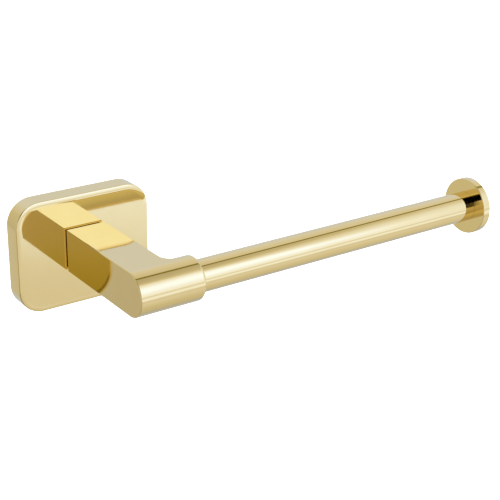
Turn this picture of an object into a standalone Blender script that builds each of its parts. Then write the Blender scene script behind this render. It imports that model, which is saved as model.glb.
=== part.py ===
"""Toilet paper holder: wall plate, square arm, round collar, open-ended roll bar with a stop disc.

Metres, +Z up. The origin is the middle of the bracket's back face, on the wall plane Y = 0.
+X runs along the roll bar, -Y stands out of the wall and +Y goes into it.
"""
import math

import bmesh
import bpy
from mathutils import Matrix, Vector

MM = 0.001
GAP = 0.3 * MM               # clearance between pieces that touch or fit in one another
ROUND = 64                   # sides of a visible round piece
SMALL_ROUND = 32             # sides of a hidden round piece or a small hole

# Wall plate (rosette): a landscape rounded rectangle
PLATE_WIDTH = 56.4 * MM
PLATE_HEIGHT = 44.6 * MM
PLATE_DEPTH = 8.5 * MM
PLATE_CORNER = 10 * MM
PLATE_WALL = 1.8 * MM
PLATE_CROWN = 2.6 * MM       # the front rounds off over this width, as a quarter of an ellipse
PLATE_CROWN_DEPTH = 0.65 * MM
PLATE_BACK = -0.2 * MM       # the rim stops just short of the wall

# Arm: its axis is a little above the middle of the plate
ARM_Z = 0.9 * MM
ARM_WIDTH = 16.4 * MM
ARM_HEIGHT = 17.3 * MM
ARM_REACH = 56.6 * MM          # wall plane to the bar's axis
SHADOW_GAP = 0.7 * MM        # groove between the plate and the arm
ARM_BACK = -PLATE_DEPTH - SHADOW_GAP
COLLAR_RADIUS = ARM_HEIGHT / 2
COLLAR_END = 19.2 * MM
COLLAR_CHAMFER = 0.8 * MM
ARM_OVERLAP = 0.5 * MM       # the square section ends this far behind the collar's axis, inside the collar
FLARE_RADIUS = 5.7 * MM      # concave corner between the arm's side and the collar
FLARE_STOP = 1.2 * MM        # the corner's curve ends this far behind the bar's axis

# Roll bar and stop disc
BAR_RADIUS = 6.25 * MM
BAR_BORE = 5.05 * MM
BAR_START = -3 * MM
DISC_FACE = 155 * MM
DISC_THICKNESS = 3.6 * MM
DISC_RADIUS = 11.75 * MM
DISC_EDGE = 0.35 * MM
PLUG_RADIUS = BAR_BORE - GAP
SPIGOT_LENGTH = 3 * MM

# Bracket
BRACKET_SHEET = 1.5 * MM
BRACKET_TAB_WIDTH = 20 * MM
BRACKET_TAB_REACH = 6 * MM
BRACKET_TOP = PLATE_HEIGHT / 2 - PLATE_WALL - GAP
BRACKET_BOTTOM = -16.8 * MM
BRACKET_WINGS = (40 * MM, 22 * MM)
BRACKET_BEND = 2 * MM
SCREW_X = 10 * MM
SLOT_LENGTH = 7 * MM
SLOT_RADIUS = 2.1 * MM

# Fasteners
BOLT_RADIUS = 2.5 * MM
BOLT_CLEARANCE = BOLT_RADIUS + GAP
PIN_RADIUS = 1.5 * MM
PIN_OFFSET = 5 * MM
SET_SCREW_RADIUS = 2 * MM
BAR_SET_SCREW_X = 8 * MM

GOLD = "polished_gold"
STEEL = "zinc_steel"
BRASS = "raw_brass"
NYLON = "grey_nylon"
RUBBER = "black_rubber"
FINISHES = {
    GOLD: ((0.83, 0.68, 0.33), 0.08, 1.0),
    STEEL: ((0.62, 0.63, 0.64), 0.35, 1.0),
    BRASS: ((0.72, 0.56, 0.28), 0.35, 1.0),
    NYLON: ((0.45, 0.46, 0.48), 0.55, 0.0),
    RUBBER: ((0.03, 0.03, 0.03), 0.7, 0.0),
}

# Turns a piece built along +X so that it runs along the named direction
ALONG = {
    "+X": Matrix.Identity(4),
    "+Y": Matrix.Rotation(math.pi / 2, 4, "Z"),
    "-Y": Matrix.Rotation(-math.pi / 2, 4, "Z"),
    "+Z": Matrix.Rotation(-math.pi / 2, 4, "Y"),
}


def clear_scene():
    for old in list(bpy.data.objects):
        bpy.data.objects.remove(old, do_unlink=True)


def finish(slot):
    """The Principled material of a slot, made on first use."""
    material = bpy.data.materials.get(slot)
    if material is None:
        color, roughness, metallic = FINISHES[slot]
        material = bpy.data.materials.new(slot)
        material.use_nodes = True
        shader = material.node_tree.nodes["Principled BSDF"]
        shader.inputs["Base Color"].default_value = (*color, 1.0)
        shader.inputs["Roughness"].default_value = roughness
        shader.inputs["Metallic"].default_value = metallic
    return material


def make_object(name, mesh, slot=None):
    """Put a finished bmesh in the scene, as a piece with a slot or as a hidden cutter without one."""
    bmesh.ops.recalc_face_normals(mesh, faces=mesh.faces)
    if mesh.calc_volume(signed=True) < 0:
        bmesh.ops.reverse_faces(mesh, faces=mesh.faces)
    data = bpy.data.meshes.new(name)
    mesh.to_mesh(data)
    mesh.free()
    data.shade_smooth()
    data.set_sharp_from_angle(angle=math.radians(30))
    piece = bpy.data.objects.new(name, data)
    bpy.context.scene.collection.objects.link(piece)
    if slot is None:
        piece.hide_render = True
        piece.display_type = "WIRE"
    else:
        data.materials.append(finish(slot))
    return piece


def combine(piece, tool, operation):
    """Add or cut a tool with an exact Boolean; the tool stays in the scene as a hidden guide."""
    boolean = piece.modifiers.new(tool.name, "BOOLEAN")
    boolean.object = tool
    boolean.operation = operation
    boolean.solver = "EXACT"


def prism(name, outline, low, high, axis, slot=None):
    """Extrude a flat outline along an axis. The outline holds the other two coordinates in X, Y, Z order."""
    place = {
        "X": lambda a, b, t: (t, a, b),
        "Y": lambda a, b, t: (a, t, b),
        "Z": lambda a, b, t: (a, b, t),
    }[axis]
    mesh = bmesh.new()
    face = mesh.faces.new([mesh.verts.new(place(a, b, low)) for a, b in outline])
    extruded = bmesh.ops.extrude_face_region(mesh, geom=[face])
    moved = [item for item in extruded["geom"] if isinstance(item, bmesh.types.BMVert)]
    bmesh.ops.translate(mesh, verts=moved, vec=Vector(place(0, 0, high - low)))
    return make_object(name, mesh, slot)


def turned(name, profile, origin, along="+X", slot=None, sides=SMALL_ROUND):
    """Turn a closed profile of (distance, radius) points round its axis."""
    mesh = bmesh.new()
    points = [mesh.verts.new((distance, 0, radius)) for distance, radius in profile]
    edges = [mesh.edges.new((points[i - 1], points[i])) for i in range(len(points))]
    bmesh.ops.spin(mesh, geom=points + edges, cent=(0, 0, 0), axis=(1, 0, 0),
                   angle=2 * math.pi, steps=sides, use_merge=True)
    bmesh.ops.remove_doubles(mesh, verts=mesh.verts, dist=1e-7)
    on_axis = [vert for vert in mesh.verts if math.hypot(vert.co.y, vert.co.z) < 1e-7]
    wires = [edge for edge in mesh.edges if edge.is_wire]
    bmesh.ops.delete(mesh, geom=wires, context="EDGES")
    caps = [vert for vert in on_axis if vert.is_valid and vert.link_faces]
    bmesh.ops.dissolve_verts(mesh, verts=caps)
    mesh.transform(Matrix.Translation(Vector(origin)) @ ALONG[along])
    return make_object(name, mesh, slot)


def rod_profile(length, radius, edge=0.0):
    """A solid rod from 0 to length with its edges chamfered."""
    if edge == 0.0:
        return [(0, 0), (0, radius), (length, radius), (length, 0)]
    return [(0, 0), (0, radius - edge), (edge, radius),
            (length - edge, radius), (length, radius - edge), (length, 0)]


def ring_profile(length, inner, outer):
    return [(0, inner), (0, outer), (length, outer), (length, inner)]


def arc(center, radius, start, end, steps):
    """Points on an arc, both ends included; angles in degrees."""
    points = []
    for step in range(steps + 1):
        angle = math.radians(start + (end - start) * step / steps)
        points.append((center[0] + radius * math.cos(angle), center[1] + radius * math.sin(angle)))
    return points


def rounded_rectangle(width, height, corner, steps=10):
    outline = []
    for quarter, (side, top) in enumerate([(1, 1), (-1, 1), (-1, -1), (1, -1)]):
        center = (side * (width / 2 - corner), top * (height / 2 - corner))
        outline += arc(center, corner, 90 * quarter, 90 * (quarter + 1), steps)
    return outline


def hexagon_socket(name, origin, along, across, depth):
    """A cutter for a hexagon socket, measured across its flats."""
    profile = rod_profile(depth, across / math.sqrt(3))
    return turned(name, profile, origin, along, sides=6)


def cut_hole(piece, name, origin, along, radius, length):
    combine(piece, turned(name, rod_profile(length, radius), origin, along), "DIFFERENCE")


def rosette_cover():
    """A cup: nested rounded rectangles from the rim over the front and back into the hollow."""
    sections = [(PLATE_BACK, 0.0)]
    steps = 8
    for step in range(steps + 1):
        angle = math.radians(90 * step / steps)
        depth = -PLATE_DEPTH + PLATE_CROWN_DEPTH * (1 - math.sin(angle))
        sections.append((depth, PLATE_CROWN * (1 - math.cos(angle))))
    inner = [(-PLATE_DEPTH + PLATE_WALL, PLATE_WALL), (PLATE_BACK, PLATE_WALL)]

    mesh = bmesh.new()
    rings = []
    for depth, inset in sections + inner:
        outline = rounded_rectangle(PLATE_WIDTH - 2 * inset, PLATE_HEIGHT - 2 * inset, PLATE_CORNER - inset)
        rings.append([mesh.verts.new((x, depth, z)) for x, z in outline])
    front, floor = len(sections) - 1, len(sections)
    for near, far in zip(range(len(rings)), list(range(1, len(rings))) + [0]):
        if near == front:
            continue
        for i in range(len(rings[near])):
            mesh.faces.new((rings[near][i - 1], rings[near][i], rings[far][i], rings[far][i - 1]))
    mesh.faces.new(rings[front])
    mesh.faces.new(rings[floor])
    cover = make_object("rosette_cover", mesh, GOLD)

    cut_hole(cover, "cover_bolt_hole", (0, -PLATE_DEPTH - MM, ARM_Z), "+Y", BOLT_CLEARANCE, 5 * MM)
    for label, side in (("lower", -1), ("upper", 1)):
        start = (side * PIN_OFFSET, -PLATE_DEPTH - MM, ARM_Z + side * PIN_OFFSET)
        cut_hole(cover, "cover_pin_hole_" + label, start, "+Y", PIN_RADIUS + GAP, 5 * MM)
    start = (0, -4 * MM, -PLATE_HEIGHT / 2 - MM)
    cut_hole(cover, "cover_set_screw_hole", start, "+Z", SET_SCREW_RADIUS + GAP, 5 * MM)
    return cover


def seat_gasket():
    """A thin sheet in the shadow gap, set back from the arm's sides."""
    setback = 0.8 * MM
    thickness = SHADOW_GAP - 2 * 0.2 * MM
    back = -PLATE_DEPTH - 0.2 * MM
    outline = [(x, z + ARM_Z) for x, z in
               rounded_rectangle(ARM_WIDTH - 2 * setback, ARM_HEIGHT - 2 * setback, 0.5 * MM, 3)]
    gasket = prism("seat_gasket", outline, back - thickness, back, "Y", RUBBER)
    cut_hole(gasket, "gasket_bolt_hole", (0, ARM_BACK - MM, ARM_Z), "+Y", BOLT_CLEARANCE, 3 * MM)
    for label, side in (("lower", -1), ("upper", 1)):
        start = (side * PIN_OFFSET, ARM_BACK - MM, ARM_Z + side * PIN_OFFSET)
        cut_hole(gasket, "gasket_pin_hole_" + label, start, "+Y", PIN_RADIUS + GAP, 3 * MM)
    return gasket


def arm():
    """Square post with a concave corner, and the round collar across its front end."""
    side = ARM_WIDTH / 2
    curve_end = -ARM_REACH + FLARE_STOP
    corner = arc((side + FLARE_RADIUS, curve_end + FLARE_RADIUS), FLARE_RADIUS, 270, 180, 8)
    front = -ARM_REACH + ARM_OVERLAP
    outline = [(-side, ARM_BACK), (-side, front), (side + FLARE_RADIUS, front)]
    outline += corner + [(side, ARM_BACK)]
    half = ARM_HEIGHT / 2
    body = prism("arm", outline, ARM_Z - half, ARM_Z + half, "Z", GOLD)

    length = COLLAR_END + side
    profile = [(0, 0), (0, COLLAR_RADIUS), (length - COLLAR_CHAMFER, COLLAR_RADIUS),
               (length, COLLAR_RADIUS - COLLAR_CHAMFER), (length, 0)]
    collar = turned("arm_collar", profile, (-side, -ARM_REACH, ARM_Z), "+X", sides=ROUND)
    combine(body, collar, "UNION")

    bore_start = BAR_START - 1 * MM
    profile = rod_profile(COLLAR_END - bore_start + MM, BAR_RADIUS + GAP)
    bore = turned("arm_bar_bore", profile, (bore_start, -ARM_REACH, ARM_Z), "+X", sides=ROUND)
    combine(body, bore, "DIFFERENCE")

    cut_hole(body, "arm_bolt_hole", (0, ARM_BACK + MM, ARM_Z), "-Y", BOLT_CLEARANCE, 13.5 * MM)
    for label, offset in (("lower", -PIN_OFFSET), ("upper", PIN_OFFSET)):
        start = (offset, ARM_BACK + MM, ARM_Z + offset)
        cut_hole(body, "arm_pin_hole_" + label, start, "-Y", PIN_RADIUS + GAP, 5 * MM)
    start = (BAR_SET_SCREW_X, -ARM_REACH, ARM_Z - COLLAR_RADIUS - MM)
    cut_hole(body, "arm_set_screw_hole", start, "+Z", SET_SCREW_RADIUS + GAP, 4 * MM)
    return body


def bar():
    """The roll bar's tube with the plugs in its two ends."""
    length = DISC_FACE - GAP - BAR_START
    origin = (BAR_START, -ARM_REACH, ARM_Z)
    tube = turned("bar_tube", ring_profile(length, BAR_BORE, BAR_RADIUS), origin, "+X", GOLD, ROUND)
    start = (BAR_SET_SCREW_X, -ARM_REACH, ARM_Z - BAR_RADIUS - MM)
    cut_hole(tube, "tube_set_screw_hole", start, "+Z", SET_SCREW_RADIUS + GAP, 3 * MM)

    near_start = BAR_START + 1 * MM
    turned("bar_plug_near", rod_profile(16 * MM, PLUG_RADIUS, 0.5 * MM),
           (near_start, -ARM_REACH, ARM_Z), "+X", BRASS)

    far_length = 10 * MM
    far_start = DISC_FACE - SPIGOT_LENGTH - 1 * MM - far_length
    turned("bar_plug_far", ring_profile(far_length, SET_SCREW_RADIUS + GAP, PLUG_RADIUS),
           (far_start, -ARM_REACH, ARM_Z), "+X", BRASS)


def end_disc():
    """A flat disc with softened edges and a short spigot that centres it in the tube."""
    hole = SET_SCREW_RADIUS + GAP
    hole_end = DISC_FACE + DISC_THICKNESS - 1.2 * MM
    face, back = SPIGOT_LENGTH, SPIGOT_LENGTH + DISC_THICKNESS
    profile = [(0, hole), (0, PLUG_RADIUS), (face, PLUG_RADIUS), (face, DISC_RADIUS - DISC_EDGE),
               (face + DISC_EDGE, DISC_RADIUS), (back - DISC_EDGE, DISC_RADIUS),
               (back, DISC_RADIUS - DISC_EDGE), (back, 0),
               (hole_end - DISC_FACE + SPIGOT_LENGTH, 0), (hole_end - DISC_FACE + SPIGOT_LENGTH, hole)]
    start = (DISC_FACE - SPIGOT_LENGTH, -ARM_REACH, ARM_Z)
    turned("end_disc", profile, start, "+X", GOLD, ROUND)

    stud_length = 14 * MM
    stud_start = hole_end - GAP - stud_length
    turned("disc_stud", rod_profile(stud_length, SET_SCREW_RADIUS, 0.4 * MM),
           (stud_start, -ARM_REACH, ARM_Z), "+X", STEEL)


def set_screw(name, tip_z, x, y, length):
    """A set screw that points up, with a hexagon socket in its lower end."""
    low = tip_z - length
    screw = turned(name, rod_profile(length, SET_SCREW_RADIUS, 0.4 * MM), (x, y, low), "+Z", STEEL)
    socket = hexagon_socket(name + "_socket", (x, y, low - MM), "+Z", 2 * MM, 2.6 * MM)
    combine(screw, socket, "DIFFERENCE")
    return screw


def arm_fasteners():
    """The bolt, its two washers and the two pins that hold the arm on the plate."""
    floor = -PLATE_DEPTH + PLATE_WALL
    flat_start = floor + GAP
    flat_thickness = 0.8 * MM
    turned("arm_flat_washer", ring_profile(flat_thickness, BOLT_CLEARANCE, 5 * MM),
           (0, flat_start, ARM_Z), "+Y", STEEL)
    lock_start = flat_start + flat_thickness + GAP
    lock_thickness = 0.9 * MM
    lock = turned("arm_lock_washer", ring_profile(lock_thickness, BOLT_CLEARANCE, 4.3 * MM),
                  (0, lock_start, ARM_Z), "+Y", STEEL)
    split = prism("lock_washer_split", [(2 * MM, -0.4 * MM), (6 * MM, -0.4 * MM),
                                        (6 * MM, 0.4 * MM), (2 * MM, 0.4 * MM)],
                  lock_start - MM, lock_start + 2 * MM, "Y")
    split.location.z = ARM_Z
    combine(lock, split, "DIFFERENCE")

    head_start = lock_start + lock_thickness + GAP
    head_height = 2.1 * MM
    shank = 16 * MM
    profile = [(0, 0), (0, BOLT_RADIUS - 0.4 * MM), (0.4 * MM, BOLT_RADIUS), (shank, BOLT_RADIUS),
               (shank, 4.6 * MM), (shank + 1.2 * MM, 4.6 * MM), (shank + head_height, 3.4 * MM),
               (shank + head_height, 0)]
    bolt = turned("arm_bolt", profile, (0, head_start - shank, ARM_Z), "+Y", STEEL)
    socket = hexagon_socket("arm_bolt_socket", (0, head_start + head_height - 1.5 * MM, ARM_Z), "+Y",
                            3 * MM, 2.5 * MM)
    combine(bolt, socket, "DIFFERENCE")

    pin_length = 6 * MM
    for label, side in (("lower", -1), ("upper", 1)):
        start = (side * PIN_OFFSET, floor - GAP - pin_length, ARM_Z + side * PIN_OFFSET)
        turned("arm_pin_" + label, rod_profile(pin_length, PIN_RADIUS, 0.3 * MM), start, "+Y", STEEL)


def wall_bracket():
    """Pressed sheet: a flat plate with side wings for the wall screws and a bent tab at top and bottom."""
    wing_width, wing_height = BRACKET_WINGS
    plate = prism("wall_bracket", rounded_rectangle(wing_width, wing_height, 4 * MM, 6),
                  -BRACKET_SHEET, 0.0, "Y", STEEL)

    bend = BRACKET_BEND
    inner_bend = bend - BRACKET_SHEET
    outer = arc((-bend, BRACKET_TOP - bend), bend, 0, 90, 6)
    inner = arc((-bend, BRACKET_TOP - bend), inner_bend, 90, 0, 3)
    top = outer + [(-BRACKET_TAB_REACH, BRACKET_TOP), (-BRACKET_TAB_REACH, BRACKET_TOP - BRACKET_SHEET)] + inner
    low_center = (-bend, BRACKET_BOTTOM + bend)
    bottom = arc(low_center, inner_bend, 360, 270, 3)
    bottom += [(-BRACKET_TAB_REACH, BRACKET_BOTTOM + BRACKET_SHEET), (-BRACKET_TAB_REACH, BRACKET_BOTTOM)]
    bottom += arc(low_center, bend, 270, 360, 6)
    half = BRACKET_TAB_WIDTH / 2
    channel = prism("bracket_channel", top + bottom, -half, half, "X")
    combine(plate, channel, "UNION")

    slot = []
    straight = SLOT_LENGTH / 2 - SLOT_RADIUS
    slot += arc((straight, 0), SLOT_RADIUS, -90, 90, 8)
    slot += arc((-straight, 0), SLOT_RADIUS, 90, 270, 8)
    for label, side in (("left", -1), ("right", 1)):
        cutter = prism("bracket_slot_" + label, [(x + side * SCREW_X, z) for x, z in slot],
                       -3 * MM, 2 * MM, "Y")
        combine(plate, cutter, "DIFFERENCE")
    return plate


def wall_fixing(label, x):
    """A pan-head screw, its washer, and the plug that is sunk in the wall behind the bracket."""
    washer_thickness = 0.7 * MM
    washer_back = -BRACKET_SHEET - GAP
    turned("wall_washer_" + label, ring_profile(washer_thickness, 2.1 * MM, 4.25 * MM),
           (x, washer_back - washer_thickness, 0), "+Y", STEEL)

    head_height = 2.2 * MM
    shank_radius = 1.7 * MM
    shank = 23 * MM
    tip = 2.5 * MM
    head_front = washer_back - washer_thickness - GAP - head_height
    profile = [(0, 0), (0, 2.6 * MM), (0.7 * MM, 3.4 * MM), (head_height, 3.5 * MM),
               (head_height, shank_radius), (head_height + shank - tip, shank_radius),
               (head_height + shank, 0.2 * MM), (head_height + shank, 0)]
    screw = turned("wall_screw_" + label, profile, (x, head_front, 0), "+Y", STEEL)
    for turn, (wide, high) in (("flat", (3.6, 0.8)), ("upright", (0.8, 3.6))):
        w, h = wide * MM / 2, high * MM / 2
        recess = prism("screw_" + label + "_recess_" + turn,
                       [(x - w, -h), (x + w, -h), (x + w, h), (x - w, h)],
                       head_front - MM, head_front + 1.4 * MM, "Y")
        combine(screw, recess, "DIFFERENCE")

    plug_start = 2.2 * MM
    plug_length = 19.5 * MM
    profile = [(0, 2.05 * MM), (0, 2.7 * MM), (0.8 * MM, 2.7 * MM), (0.8 * MM, 2.5 * MM),
               (plug_length - 1.5 * MM, 2.5 * MM), (plug_length, 2.3 * MM), (plug_length, 2.05 * MM)]
    plug = turned("wall_plug_" + label, profile, (x, plug_start, 0), "+Y", NYLON)
    split = prism("plug_" + label + "_split",
                  [(x - 3 * MM, -0.35 * MM), (x + 3 * MM, -0.35 * MM), (x + 3 * MM, 0.35 * MM),
                   (x - 3 * MM, 0.35 * MM)],
                  plug_start + 7 * MM, plug_start + plug_length - 3 * MM, "Y")
    combine(plug, split, "DIFFERENCE")


def main():
    clear_scene()
    rosette_cover()
    seat_gasket()
    arm()
    bar()
    end_disc()
    arm_fasteners()
    set_screw("bar_set_screw", ARM_Z - PLUG_RADIUS - GAP, BAR_SET_SCREW_X, -ARM_REACH, 3 * MM)
    wall_bracket()
    set_screw("rosette_set_screw", BRACKET_BOTTOM - GAP, 0, -4 * MM, 4 * MM)
    wall_fixing("left", -SCREW_X)
    wall_fixing("right", SCREW_X)


main()
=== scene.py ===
import math

import bmesh
import bpy
from mathutils import Matrix, Vector


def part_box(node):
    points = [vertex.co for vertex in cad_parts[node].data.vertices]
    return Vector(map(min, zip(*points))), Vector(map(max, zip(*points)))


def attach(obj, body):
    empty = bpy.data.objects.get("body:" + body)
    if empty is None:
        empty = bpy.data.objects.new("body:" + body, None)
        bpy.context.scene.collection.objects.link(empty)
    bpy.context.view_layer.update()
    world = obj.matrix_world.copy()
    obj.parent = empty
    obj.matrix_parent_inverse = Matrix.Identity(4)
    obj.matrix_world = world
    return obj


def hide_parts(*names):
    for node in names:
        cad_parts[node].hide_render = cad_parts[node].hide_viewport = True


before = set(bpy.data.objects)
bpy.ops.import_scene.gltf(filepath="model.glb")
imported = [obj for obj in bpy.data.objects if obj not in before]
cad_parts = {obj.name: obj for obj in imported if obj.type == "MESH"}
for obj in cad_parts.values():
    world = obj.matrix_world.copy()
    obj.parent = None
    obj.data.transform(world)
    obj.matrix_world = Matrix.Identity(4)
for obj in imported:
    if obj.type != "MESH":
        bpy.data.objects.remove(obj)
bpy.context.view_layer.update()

MM = 0.001

# ---------------------------------------------------------------- node helpers


class Tree:
    """Short calls that add nodes to one tree and link them."""

    def __init__(self, tree):
        self.tree = tree
        tree.nodes.clear()

    def add(self, kind, inputs=None, **settings):
        """A new node with its sockets fed and its settings made."""
        node = self.tree.nodes.new(kind)
        for name, value in settings.items():
            setattr(node, name, value)
        for name, value in (inputs or {}).items():
            self.feed(node.inputs[name], value)
        return node

    def feed(self, socket, value):
        """Link the socket to another one, or set its value."""
        if isinstance(value, bpy.types.NodeSocket):
            self.tree.links.new(value, socket)
        else:
            socket.default_value = value

    def math(self, operation, *values):
        """One arithmetic step."""
        node = self.add("ShaderNodeMath", dict(enumerate(values)), operation=operation)
        return node.outputs[0]

    def smooth(self, value, low, high, start=0.0, end=1.0):
        """An eased step from start to end as the value goes from low to high."""
        node = self.add("ShaderNodeMapRange", {
            "Value": value, "From Min": low, "From Max": high, "To Min": start, "To Max": end,
        }, interpolation_type="SMOOTHSTEP")
        return node.outputs["Result"]

    def blend(self, factor, first, second):
        """The first number where the factor is 0, the second where it is 1."""
        node = self.add("ShaderNodeMix", {0: factor, 2: first, 3: second}, data_type="FLOAT")
        return node.outputs[0]

    def noise(self, where, scale, detail):
        """A cloudy pattern between 0 and 1."""
        node = self.add("ShaderNodeTexNoise", {"Vector": where, "Scale": scale, "Detail": detail})
        return node.outputs["Fac"]

    def ramp(self, value, stops):
        """A brightness that follows (position, level) stops with soft joins."""
        node = self.add("ShaderNodeFloatCurve", {"Value": value})
        curve = node.mapping.curves[0]
        node.mapping.use_clip = False
        first, last = stops[0], stops[-1]
        curve.points[0].location = first
        curve.points[1].location = last
        for stop in stops[1:-1]:
            curve.points.new(*stop)
        for point in curve.points:
            point.handle_type = "AUTO_CLAMPED"
        node.mapping.update()
        return node.outputs["Value"]


# ---------------------------------------------------------------- studio

CAMERA_PLACE = Vector((-0.20002, -0.39777, 0.18236))
CAMERA_YAW = math.radians(-35.553)
CAMERA_PITCH = math.radians(-22.803)
CAMERA_ROLL = math.radians(1.004)
CAMERA_LENS = 87.64
SENSOR_WIDTH = 36.0
NEAREST_SEEN = 0.01
FARTHEST_SEEN = 50.0


def studio_camera():
    """The camera stands in front, to the left and above."""
    forward = Vector((-math.sin(CAMERA_YAW) * math.cos(CAMERA_PITCH),
                      math.cos(CAMERA_YAW) * math.cos(CAMERA_PITCH),
                      math.sin(CAMERA_PITCH)))
    level = Vector((math.cos(CAMERA_YAW), math.sin(CAMERA_YAW), 0.0))
    upright = level.cross(forward)
    right = level * math.cos(CAMERA_ROLL) + upright * math.sin(CAMERA_ROLL)
    up = upright * math.cos(CAMERA_ROLL) - level * math.sin(CAMERA_ROLL)
    lens = bpy.data.cameras.new("studio_camera")
    lens.lens = CAMERA_LENS
    lens.sensor_width = SENSOR_WIDTH
    lens.clip_start = NEAREST_SEEN
    lens.clip_end = FARTHEST_SEEN
    camera = bpy.data.objects.new("studio_camera", lens)
    axes = Matrix((right, up, -forward)).transposed()
    camera.matrix_world = Matrix.Translation(CAMERA_PLACE) @ axes.to_4x4()
    bpy.context.scene.collection.objects.link(camera)
    bpy.context.scene.camera = camera


ELEVATION_RANGE = 90.0
BRIGHTEST = 4.0             # top of the brightness curves
BACKGROUND_WHITE = 1.02

# Brightness of each wall of the soft studio, by elevation in degrees above the horizon
FRONT_WALL = (
    (-90, 0.50), (-63, 0.60), (-44, 0.71), (-33, 0.76), (-26, 0.73), (-24, 0.74), (-22, 0.86), (-20, 0.93),
    (-17, 0.97), (-12, 0.95), (-8, 0.80), (-5.5, 0.82), (-3, 0.94), (0, 0.98), (8, 1.02), (22, 1.08),
    (33, 1.04), (38, 0.98), (43, 0.91), (53, 0.69), (61, 0.61), (90, 0.58),
)
SOFT_FRONT = (
    (-90, 0.50), (-63, 0.60), (-44, 0.68), (-26, 0.72), (-20, 0.78), (-12, 0.80), (-4, 0.84), (0, 0.96),
    (8, 1.02), (22, 1.12), (33, 1.06), (38, 0.98), (43, 0.91), (53, 0.69), (61, 0.61), (90, 0.58),
)
DIM_FRONT = (
    (-90, 0.20), (-60, 0.22), (-40, 0.26), (-28, 0.20), (-25.5, 0.30), (-24, 0.39), (-21, 0.46), (-8, 0.52),
    (15, 0.7), (40, 0.8), (60, 0.7), (90, 0.60),
)
LEFT_WALL = (
    (-90, 0.45), (-45, 0.58), (-23, 0.65), (0, 0.68), (20, 0.75), (45, 0.80), (65, 0.68), (90, 0.60),
)
FAR_LEFT_WALL = (
    (-90, 0.40), (-45, 0.48), (-23, 0.52), (0, 0.55), (20, 0.65), (45, 0.75), (65, 0.66), (90, 0.60),
)
REAR_LEFT_WALL = (
    (-90, 0.46), (-35, 0.50), (-24, 0.60), (-14, 0.63), (10, 0.60), (40, 0.60), (60, 0.62), (90, 0.60),
)
REAR_WALL = (
    (-90, 0.46), (-35, 0.50), (-22, 0.54), (0, 0.60), (30, 0.64), (60, 0.64), (90, 0.60),
)
BACK_WALL = (
    (-90, 0.46), (-50, 0.52), (-22, 0.61), (0, 0.65), (20, 0.68), (45, 0.74), (65, 0.66), (90, 0.60),
)

# Each wall fades in from its first turn to its second. Turns are in degrees from the front,
# positive to the right
LEFT_SIDE = (
    (SOFT_FRONT, 18, 0), (DIM_FRONT, -19, -25), (LEFT_WALL, -47, -52), (FAR_LEFT_WALL, -68, -78),
    (REAR_LEFT_WALL, -95, -115), (REAR_WALL, -138, -147), (BACK_WALL, -152, -157),
)
RIGHT_TURNS = (80, 102)

# The front panel's right part is a little dimmer above the horizon
DIMMER_TURNS = (37, 47)
DIMMER_HEIGHTS = (-6, 4)
DIMMER_LEVEL = 0.85

# A dark seam runs overhead from left to right
SEAM_HEIGHTS = (5, 30)
SEAM_HALF_WIDTH = 6.0
SEAM_LEVEL = 0.30

# A black flag hangs on the left. Its bounds are parts of the unit direction, each with its soft edge.
# Its foot steps down from left to right, and further right the flag thins out
FLAG_LEFT = (-0.79, -0.75)
FLAG_RIGHT = (-0.32, -0.25)
FLAG_BACK = (-0.06, 0.0)
FLAG_STEP = (-0.6870, -0.6842)
FLAG_FOOT = (0.40, 0.02)
FLAG_FOOT_EDGE = 0.08
FLAG_THINNING = (-0.60, -0.50)
FLAG_THIN_LEVEL = 0.3

# Colour of the light by its brightness: warm where dim, cool where bright
GREEN_SHARE = (
    (0.0, 0.86), (0.35, 0.91), (0.5, 0.96), (0.7, 0.99), (0.85, 1.08), (1.0, 1.14), (1.12, 1.26), (4.0, 1.26),
)
BLUE_SHARE = (
    (0.0, 0.20), (0.30, 0.25), (0.42, 0.46), (0.53, 0.92), (0.60, 0.90), (0.68, 1.0), (0.85, 1.40),
    (1.0, 1.72), (1.12, 2.3), (4.0, 2.3),
)

# The light from behind is cooler, up to some height
BEHIND_GREEN = 1.11
BEHIND_BLUE = 1.42
BEHIND_TURNS = (-178, -150)
BEHIND_HEIGHTS = (30, 46)


def wall_brightness(tree, height, stops):
    """One wall's brightness, as a share of the brightest level, by height from 0 to 1."""
    scaled = [((degrees / ELEVATION_RANGE + 1) / 2, level / BRIGHTEST) for degrees, level in stops]
    return tree.ramp(height, scaled)


def colour_share(tree, level, stops):
    """How much of a colour goes with each brightness."""
    return tree.ramp(level, [(bright / BRIGHTEST, share) for bright, share in stops])


def in_degrees(tree, angle):
    """The same angle in degrees instead of radians."""
    return tree.math("MULTIPLY", angle, 180 / math.pi)


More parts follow.
